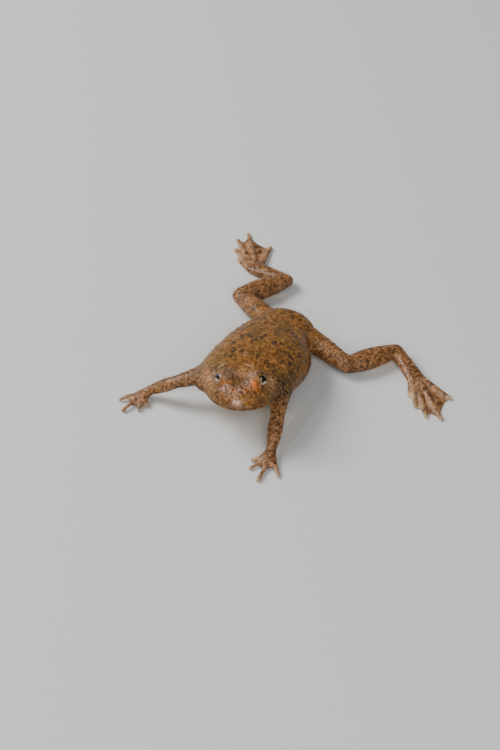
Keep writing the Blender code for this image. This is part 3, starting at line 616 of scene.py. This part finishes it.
masks = {"cheek": patches(places, CHEEK), "saddle_shade": patches(places, SADDLE_SHADE),
         "mauve_sheen": patches(places, MAUVE_SHEEN), "ochre": patches(places, OCHRE), "tan_and_painted_light": patches(places, TAN_AND_PAINTED_LIGHT)}
masks["belly"] = ease((-normals[:, 2] - 0.3) / 0.4)
masks["wart"] = wart * (1.0 - CHEEK_CALM * masks["cheek"])
freckles = np.maximum(near(places, FRECKLED_FOLD, FRECKLED_FOLD_REACH), patches(places, FRECKLES))
masks["freckles"] = 1.2 * np.minimum(1.6 * freckles, 1.0)
behind_snout = (places - body_point(0.0, 0.0, 0.0)) @ AXIS[2][0]
masks["face"] = FACE_STRENGTH * ease((FACE_LENGTH - behind_snout) / FACE_FADE)
masks["limb"], masks["digit"], masks["tip"] = np.zeros((3, len(places)))
for name, start, end, table in bones:
    along, offset = along_line(places, start, end)
    limb = ease((LIMB_REACH - np.linalg.norm(offset, axis=1)) / LIMB_FADE)
    if name in ("upper_arm", "thigh"):
        limb = limb * ease((along - LIMB_START) / LIMB_RUN)
    masks["limb"] = np.maximum(masks["limb"], limb)
for root, end in digits:
    along, offset = along_line(places, root, end)
    digit = ease((DIGIT_REACH - np.linalg.norm(offset[:, :2], axis=1)) / DIGIT_FADE)
    digit = digit * ease((2.4 - places[:, 2]) / 0.8) * ease(along / 0.15)
    masks["digit"] = np.maximum(masks["digit"], digit)
    masks["tip"] = np.maximum(masks["tip"], near(places, end, TIP_REACH))
masks["marks"] = np.maximum(patches(places, MARKS), 0.6 * ring)
# The pale mask is mostly painted highlight: glints on the lips, brow wrinkles, eye fold and a back wart.
pale = np.maximum(patches(places, PALE_AND_GLINT_SPOTS), 0.15 * lips * near(places, mouth[len(mouth) // 2], 3.2))
pale = np.maximum(pale, patches(places, GLINT_STREAKS) * ridge(to_fold, 0.0, 0.25))
masks["pale"] = np.maximum(pale, patches(places, EYE_FOLD_GLINT) * ridge(to_eye_fold, 0.0, 0.4))
# Painted sky sheen on the lid above each eye.
for side in (1, -1):
    centre, gaze, forward, above = eye_frame(side)
    above_eye = centre + 1.5 * above - 1.3 * gaze
    masks["mauve_sheen"] = np.maximum(masks["mauve_sheen"], 0.6 * near(places, above_eye, 1.5))
# Painted shade: the mouth crease, the nostrils and the moat round the ring wart are darkened in their
# dents.
groove_shade = np.maximum(crease, ridge(to_nostril, 0.0, 0.27))
masks["groove_shade"] = np.maximum(groove_shade, 0.7 * ring_wart_moat)

# The skin was worked out from the snout tip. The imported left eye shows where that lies.
places[:, 2] = np.maximum(places[:, 2], 0.0)
shift = np.array(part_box("eye_left")).mean(0) / MM - eye_frame(1)[0]
write_points(melted, (places + shift) * MM)
for name, values in masks.items():
    layer = melted.attributes.new(name, "FLOAT", "POINT")
    layer.data.foreach_set("value", values.astype(np.float32))
melted.shade_smooth()

# Skin, its look: brown and olive ground with dark blotches, pale-sided warts with dark
# points, redder limbs, pale finger tips, and a yellow belly marbled with slate.
# Some colours below are painted light: shade in grooves, creases and hollows and on one cheek, glints on
# wet skin, and a sky sheen on the head.
GROUND = (0.13, 0.047, 0.006), (0.3, 0.12, 0.024)
OLIVE, SHADED = (0.13, 0.075, 0.006), (0.06, 0.026, 0.004)
LIMB_GROUND = (0.14, 0.055, 0.018), (0.32, 0.145, 0.056)
DIGIT_GROUND = (0.22, 0.1, 0.045), (0.42, 0.22, 0.115)
# Granule tops: partly paler skin, partly painted glints. Granule grooves: painted shade.
GRANULE_TOP_AND_GLINT, GRANULE_GROOVE_SHADE = (0.52, 0.25, 0.105), (0.06, 0.024, 0.006)
DARK_SPOT = (0.034, 0.014, 0.004)
WART_FLANK, WART_POINT = (0.42, 0.22, 0.09), (0.04, 0.017, 0.006)
# Stripe hollows are painted shade and stripe tops are painted glints.
STRIPE_HOLLOW_SHADE, STRIPE_GLINT, STRIPE_GAP = (0.016, 0.006, 0.001), (0.33, 0.19, 0.06), 0.8
TIP_PALE, CREASE_SHADE = (0.62, 0.42, 0.24), (0.04, 0.016, 0.006)
BELLY = (0.75, 0.4, 0.025), (0.03, 0.036, 0.05)
CLOUDS, PATCHES, SHADES, GRAIN, GRANULES, MARBLE = 170.0, 640.0, 330.0, 2600.0, 1700.0, 260.0
BLOTCHES, SPECKS, FRECKLE_DOTS = (620.0, 0.36, 0.72), (1000.0, 0.29, 0.65), (1100.0, 0.46, 0.95)
# Tints over the ground. The cheek is partly painted shade, the saddle painted shade, tan partly painted
# light, mauve a painted sky sheen and pale mostly painted glints.
SKIN_TINTS = (("cheek", 0.92, (0.035, 0.013, 0.002)), ("tan_and_painted_light", 0.83, (0.56, 0.285, 0.13)),
              ("mauve_sheen", 0.75, (0.38, 0.22, 0.19)), ("ochre", 0.9, (0.3, 0.12, 0.002)),
              ("saddle_shade", 0.45, (0.11, 0.06, 0.012)), ("pale", 0.9, (0.95, 0.62, 0.44)),
              ("marks", 0.95, (0.78, 0.19, 0.015)))


def place_node(tree, kind, inputs=(), **settings):
    """Add a shader node: sockets get a value, or a link where a socket is given."""
    made = tree.nodes.new(kind)
    for key, value in settings.items():
        setattr(made, key, value)
    for socket, value in inputs:
        if isinstance(value, bpy.types.NodeSocket):
            tree.links.new(value, made.inputs[socket])
        else:
            made.inputs[socket].default_value = value
    return made


def blend_colour(tree, factor, first, second):
    """Mix two colours; a colour is a socket or a linear red, green and blue."""
    pair = [value if isinstance(value, bpy.types.NodeSocket) else (*value, 1.0)
            for value in (first, second)]
    made = place_node(tree, "ShaderNodeMix", [(0, factor), (6, pair[0]), (7, pair[1])],
                      data_type="RGBA")
    return made.outputs[2]


def maths(tree, kind, first, second=0.0):
    """One sum, product, power or comparison of two values."""
    return place_node(tree, "ShaderNodeMath", [(0, first), (1, second)], operation=kind).outputs[0]


def vector_maths(tree, kind, first, second):
    """One sum or product of two vectors, part by part."""
    return place_node(tree, "ShaderNodeVectorMath", [(0, first), (1, second)], operation=kind).outputs[0]


def between(tree, value, low, high):
    """Go smoothly from 0 at low to 1 at high."""
    made = place_node(tree, "ShaderNodeMapRange", [(0, value), (1, low), (2, high)],
                      interpolation_type="SMOOTHSTEP")
    return made.outputs[0]


def noise(tree, where, scale, detail=3.0, distortion=0.0):
    """Cloudy noise from 0 to 1, with scale in cycles a metre."""
    return place_node(tree, "ShaderNodeTexNoise", [
        ("Vector", where), ("Scale", scale), ("Detail", detail), ("Distortion", distortion)])


def mask(tree, name):
    """One of the skin's own masks, stored on its points."""
    return place_node(tree, "ShaderNodeAttribute", attribute_name=name).outputs["Fac"]


def spots(tree, where, scale, radius, share):
    """Round spots: 1 inside balls whose radius is counted in cells, about a share of the
    cell centres of a Voronoi pattern."""
    cells = place_node(tree, "ShaderNodeTexVoronoi", [("Vector", where), ("Scale", scale)])
    chosen = place_node(tree, "ShaderNodeSeparateColor", [(0, cells.outputs["Color"])]).outputs[0]
    inside = between(tree, cells.outputs["Distance"], radius * 1.35, radius * 0.65)
    return maths(tree, "MULTIPLY", inside, between(tree, chosen, 0.96 - share, 1.04 - share))


def skin_material():
    """Moist toad skin, all of it worked out from object coordinates and the skin's masks."""
    material = bpy.data.materials.new("toad_skin")
    material.use_nodes = True
    tree = material.node_tree
    shader = tree.nodes["Principled BSDF"]
    where = tree.nodes.new("ShaderNodeTexCoord").outputs["Object"]
    cloudy = noise(tree, where, CLOUDS).outputs["Fac"]
    patchy = noise(tree, where, PATCHES, 4.0, 0.6)
    grain = noise(tree, where, GRAIN).outputs["Fac"]
    wander = vector_maths(tree, "MULTIPLY", patchy.outputs["Color"], (0.0005, 0.0005, 0.0005))
    wander = vector_maths(tree, "ADD", where, wander)
    lengthwise = vector_maths(tree, "MULTIPLY", wander, (1.0, 0.62, 1.0))
    patchy = patchy.outputs["Fac"]
    limb, face = mask(tree, "limb"), mask(tree, "face")

    ground = blend_colour(tree, between(tree, patchy, 0.36, 0.64), *GROUND)
    olive = maths(tree, "MULTIPLY", between(tree, cloudy, 0.42, 0.62), 0.6)
    ground = blend_colour(tree, olive, ground, OLIVE)
    shade = between(tree, noise(tree, lengthwise, SHADES).outputs["Fac"], 0.5, 0.66)
    ground = blend_colour(tree, maths(tree, "MULTIPLY", shade, 0.55), ground, SHADED)
    limbs = blend_colour(tree, between(tree, patchy, 0.35, 0.65), *LIMB_GROUND)
    ground = blend_colour(tree, maths(tree, "MULTIPLY", limb, 0.85), ground, limbs)
    feet = blend_colour(tree, between(tree, patchy, 0.4, 0.6), *DIGIT_GROUND)
    ground = blend_colour(tree, maths(tree, "MULTIPLY", mask(tree, "digit"), 0.7), ground, feet)
    for name, strength, tint in SKIN_TINTS:
        ground = blend_colour(tree, maths(tree, "MULTIPLY", mask(tree, name), strength), ground, tint)

    granule = place_node(tree, "ShaderNodeTexVoronoi", [("Vector", wander), ("Scale", GRANULES)])
    tone = place_node(tree, "ShaderNodeSeparateColor", [(0, granule.outputs["Color"])]).outputs[1]
    granule = granule.outputs["Distance"]
    grainy = maths(tree, "ADD", maths(tree, "MULTIPLY", maths(tree, "MAXIMUM", limb, face), 0.7), 0.3)
    # Granules: the tops are partly paler skin and partly painted glints on wet granules, and the grooves
    # between them are darkened as painted shade.
    pale_top_and_glint = maths(tree, "MULTIPLY", between(tree, granule, 0.5, 0.15), between(tree, tone, 0.45, 0.9))
    pale_top_and_glint = maths(tree, "MULTIPLY", pale_top_and_glint, grainy)
    colour = blend_colour(tree, maths(tree, "MULTIPLY", pale_top_and_glint, 0.55), ground, GRANULE_TOP_AND_GLINT)
    groove_shade = maths(tree, "MULTIPLY", between(tree, granule, 0.45, 0.75), grainy)
    colour = blend_colour(tree, maths(tree, "MULTIPLY", groove_shade, 0.7), colour, GRANULE_GROOVE_SHADE)

    open_skin = maths(tree, "SUBTRACT", 1.0, maths(tree, "MAXIMUM", limb, face))
    blotch = maths(tree, "MULTIPLY", spots(tree, lengthwise, *BLOTCHES), open_skin)
    speck = maths(tree, "MULTIPLY", spots(tree, wander, *SPECKS), grainy)
    freckle = maths(tree, "MULTIPLY", spots(tree, wander, *FRECKLE_DOTS), mask(tree, "freckles"))
    dark = maths(tree, "MAXIMUM", maths(tree, "MAXIMUM", blotch, speck), freckle)
    colour = blend_colour(tree, maths(tree, "MULTIPLY", dark, 0.82), colour, DARK_SPOT)

    wart_height = mask(tree, "wart")
    flank = maths(tree, "MULTIPLY", between(tree, wart_height, 0.1, 0.45), 0.3)
    colour = blend_colour(tree, flank, colour, WART_FLANK)
    point = maths(tree, "MULTIPLY", between(tree, wart_height, 0.6, 0.85), 0.7)
    colour = blend_colour(tree, point, colour, WART_POINT)

    head_line = place_node(tree, "ShaderNodeVectorMath", [(0, wander), (1, tuple(AXIS[2][0]))],
                           operation="DOT_PRODUCT").outputs["Value"]
    stripe = maths(tree, "MULTIPLY", head_line, 2.0 * math.pi / (STRIPE_GAP * MM))
    stripe = maths(tree, "SINE", maths(tree, "ADD", stripe, maths(tree, "MULTIPLY", cloudy, 20.0)))
    # Cheek stripes: the hollows between the ridges are darkened as painted shade, and the ridge tops are
    # lightened as painted glints on wet granules.
    hollow = maths(tree, "MULTIPLY", between(tree, stripe, 0.1, -0.5), mask(tree, "cheek"))
    hollow = maths(tree, "MULTIPLY", hollow, between(tree, patchy, 0.62, 0.42))
    stripe = maths(tree, "MULTIPLY", between(tree, stripe, 0.2, 0.7), mask(tree, "cheek"))
    stripe = maths(tree, "MULTIPLY", stripe, between(tree, tone, 0.1, 0.6))
    colour = blend_colour(tree, hollow, colour, STRIPE_HOLLOW_SHADE)
    colour = blend_colour(tree, maths(tree, "MULTIPLY", stripe, 0.72), colour, STRIPE_GLINT)
    colour = blend_colour(tree, maths(tree, "MULTIPLY", mask(tree, "tip"), 0.75), colour, TIP_PALE)

    marble = between(tree, noise(tree, where, MARBLE, 3.0, 1.0).outputs["Fac"], 0.47, 0.53)
    under = blend_colour(tree, marble, *BELLY)
    edge = maths(tree, "ADD", mask(tree, "belly"), maths(tree, "MULTIPLY", cloudy, 0.7))
    colour = blend_colour(tree, between(tree, edge, 0.98, 1.08), colour, under)
    # Painted shade in the mouth crease, the nostrils and the moat of the ring wart.
    colour = blend_colour(tree, maths(tree, "MULTIPLY", mask(tree, "groove_shade"), 0.85), colour, CREASE_SHADE)
    tree.links.new(colour, shader.inputs["Base Color"])

    rough = place_node(tree, "ShaderNodeMapRange", [(0, grain), (3, 0.3), (4, 0.5)]).outputs[0]
    tree.links.new(rough, shader.inputs["Roughness"])
    height = maths(tree, "SUBTRACT", maths(tree, "MULTIPLY", grain, 0.45), granule)
    height = maths(tree, "ADD", height, maths(tree, "MULTIPLY", stripe, 0.5))
    bump = place_node(tree, "ShaderNodeBump", [
        ("Strength", 0.8), ("Distance", 0.00022), ("Height", height)])
    tree.links.new(bump.outputs[0], shader.inputs["Normal"])
    shader.inputs["Specular IOR Level"].default_value = 0.3
    shader.inputs["Coat Weight"].default_value = 0.15
    shader.inputs["Coat Roughness"].default_value = 0.15
    shader.inputs["IOR"].default_value = 1.4
    return material


melted.materials.clear()
melted.materials.append(skin_material())
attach(skin, "root")
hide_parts("head", "torso", *["%s_%s" % (part, side) for side in ("left", "right") for part in
                                    ("upper_arm", "forearm", "hand", "thigh", "shank", "foot")])

# Eyes. Each is a wet ball with a silvery gold iris, round a black pupil with three blunt
# corners: one up, one towards the snout and one down behind.
PUPIL_UP = math.radians(14.0)
PUPIL_MIDDLE, PUPIL_CORNERS = 0.24, ((86.0, 0.43), (-14.0, 0.33), (-124.0, 0.43))
# The pale fleck colour is partly iris, partly painted reflection.
PUPIL_BLACK, PALE_FLECK_AND_GLINT = (0.003, 0.002, 0.002), (0.75, 0.62, 0.48)
IRIS, IRIS_RIM = ((0.08, 0.042, 0.018), (0.3, 0.18, 0.09)), (0.16, 0.09, 0.05)


def eyeball(side):
    """A sphere about the gaze, bulged a little over the iris. Its own attribute holds each
    point's angle from the pupil's middle, split into forward and up."""
    centre, gaze, forward, above = eye_frame(side)
    pupil = gaze * math.cos(PUPIL_UP) + above * math.sin(PUPIL_UP)
    above = above * math.cos(PUPIL_UP) - gaze * math.sin(PUPIL_UP)
    tilt = np.radians(np.linspace(1.0, 179.0, 90))[:, None, None]
    spin = np.radians(np.linspace(0.0, 360.0, 96, endpoint=False))[None, :, None]
    bulge = EYE_RADIUS * (1.0 - 0.02 * (1.0 - np.exp(-((tilt / 0.7) ** 2))))
    sideways = forward * np.cos(spin) + above * np.sin(spin)
    points, triangles = tube(centre + bulge * (pupil * np.cos(tilt) + sideways * np.sin(tilt)))
    mesh = bpy.data.meshes.new("eyeball")
    mesh.from_pydata((points + shift) * MM, [], triangles.tolist())
    ray = (points - centre) / np.linalg.norm(points - centre, axis=1)[:, None]
    angle = np.arccos(np.clip(ray @ pupil, -1.0, 1.0))
    flat = np.maximum(np.hypot(ray @ forward, ray @ above), 1e-6)
    look = np.stack([angle * (ray @ forward) / flat, angle * (ray @ above) / flat, 0 * flat], 1)
    layer = mesh.attributes.new("look", "FLOAT_VECTOR", "POINT")
    layer.data.foreach_set("vector", look.astype(np.float32).ravel())
    mesh.shade_smooth()
    return mesh


def eye_material():
    """A dark pupil drawn by its distance from the middle and three corner bells, an iris
    with fine rays and pale flecks above and below it, partly iris colour and partly painted reflections,
    and a darker outer ring."""
    material = bpy.data.materials.new("toad_eye")
    material.use_nodes = True
    tree = material.node_tree
    shader = tree.nodes["Principled BSDF"]
    look = place_node(tree, "ShaderNodeAttribute", attribute_name="look").outputs["Vector"]
    split = place_node(tree, "ShaderNodeSeparateXYZ", [(0, look)]).outputs
    out = place_node(tree, "ShaderNodeVectorMath", [(0, look)], operation="LENGTH").outputs["Value"]
    turn = maths(tree, "ARCTAN2", split[1], split[0])
    reach = PUPIL_MIDDLE
    for corner, length in PUPIL_CORNERS:
        lean = maths(tree, "COSINE", maths(tree, "SUBTRACT", turn, math.radians(corner)))
        bell = maths(tree, "POWER", maths(tree, "MAXIMUM", lean, 0.0), 5.0)
        reach = maths(tree, "ADD", reach, maths(tree, "MULTIPLY", bell, length))
    pupil = between(tree, maths(tree, "SUBTRACT", out, reach), 0.03, -0.03)
    rays = vector_maths(tree, "MULTIPLY", look, (9.0, 9.0, 9.0))
    rays = noise(tree, rays, 1.6, 5.0, 2.0).outputs["Fac"]
    iris = blend_colour(tree, between(tree, rays, 0.35, 0.65), *IRIS)
    iris = blend_colour(tree, between(tree, out, 0.75, 1.15), iris, IRIS_RIM)
    # Pale flecks: partly pale iris, partly painted reflections above and below the pupil.
    fleck = maths(tree, "MULTIPLY", between(tree, rays, 0.46, 0.56),
                  between(tree, maths(tree, "SUBTRACT", out, reach), 0.5, 0.2))
    fleck = maths(tree, "MULTIPLY", fleck, between(tree, maths(tree, "ABSOLUTE", split[1]), 0.15, 0.4))
    iris = blend_colour(tree, fleck, iris, PALE_FLECK_AND_GLINT)
    colour = blend_colour(tree, pupil, iris, PUPIL_BLACK)
    tree.links.new(colour, shader.inputs["Base Color"])
    tree.links.new(maths(tree, "ADD", maths(tree, "MULTIPLY", rays, 0.2), 0.25), shader.inputs["Roughness"])
    shader.inputs["Specular IOR Level"].default_value = 0.2
    shader.inputs["Coat Weight"].default_value = 0.2
    shader.inputs["Coat Roughness"].default_value = 0.04
    return material


eye_finish = eye_material()
for name, side in (("left", 1), ("right", -1)):
    eye = bpy.data.objects.new("eyeball_" + name, eyeball(side))
    bpy.context.scene.collection.objects.link(eye)
    eye.data.materials.append(eye_finish)
    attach(eye, "root")
    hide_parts("eye_" + name)

# Camera. It stands above and before the toad, a little to its left, and looks down along
# the way that the picture was taken.
CAMERA_PLACE = (133.66, -465.88, 402.51)
CAMERA_AZIMUTH, CAMERA_ELEVATION = math.radians(17.5), math.radians(40.0)
LENS, SENSOR = 128.16, 36.0
camera = bpy.data.objects.new("camera", bpy.data.cameras.new("camera"))
camera.data.lens = LENS
camera.data.sensor_width = SENSOR
camera.data.clip_start = 0.01
camera.location = Vector(CAMERA_PLACE) * MM
looking = Vector((-math.sin(CAMERA_AZIMUTH) * math.cos(CAMERA_ELEVATION),
                  math.cos(CAMERA_AZIMUTH) * math.cos(CAMERA_ELEVATION), -math.sin(CAMERA_ELEVATION)))
camera.rotation_mode = "QUATERNION"
camera.rotation_quaternion = looking.to_track_quat("-Z", "Y")
bpy.context.scene.collection.objects.link(camera)
bpy.context.scene.camera = camera

# Studio. A pale matt floor under a pale sky, one large soft light from the left, a small
# one before the toad for the glint on wet skin, and a soft one before it on the right.
LIGHTS = (("key", (-0.6, 0.08, 0.54), 0.4, 8.0), ("front", (-0.3, -0.66, 0.46), 0.06, 1.1),
          ("fill", (0.32, -0.6, 0.52), 0.5, 4.2))
SKY, SKY_SEEN, SKY_LIGHT = (0.9, 0.9, 0.91, 1.0), 0.6, 0.22
FLOOR_RADIUS, FLOOR_GREY = 1.1, (0.6, 0.6, 0.59, 1.0)
for name, place, size, energy in LIGHTS:
    light = bpy.data.objects.new(name, bpy.data.lights.new(name, "AREA"))
    light.data.energy = energy
    light.data.size = size
    light.location = place
    light.rotation_mode = "QUATERNION"
    light.rotation_quaternion = (-light.location).to_track_quat("-Z", "Y")
    bpy.context.scene.collection.objects.link(light)
floor_mesh = bpy.data.meshes.new("floor")
turn = np.linspace(0.0, 2.0 * math.pi, 120, endpoint=False)
rim = FLOOR_RADIUS * np.stack([np.cos(turn), np.sin(turn), 0.0 * turn], 1)
floor_mesh.from_pydata(rim, [], [list(range(len(rim)))])
floor = bpy.data.objects.new("floor", floor_mesh)
bpy.context.scene.collection.objects.link(floor)
floor_finish = bpy.data.materials.new("floor")
floor_finish.use_nodes = True
floor_finish.node_tree.nodes["Principled BSDF"].inputs["Base Color"].default_value = FLOOR_GREY
floor_finish.node_tree.nodes["Principled BSDF"].inputs["Roughness"].default_value = 0.8
floor_mesh.materials.append(floor_finish)
world = bpy.data.worlds.new("world")
world.use_nodes = True
sky = world.node_tree.nodes["Background"]
sky.inputs["Color"].default_value = SKY
seen = place_node(world.node_tree, "ShaderNodeLightPath").outputs["Is Camera Ray"]
seen = maths(world.node_tree, "MULTIPLY", seen, SKY_SEEN - SKY_LIGHT)
world.node_tree.links.new(maths(world.node_tree, "ADD", seen, SKY_LIGHT), sky.inputs["Strength"])
bpy.context.scene.world = world
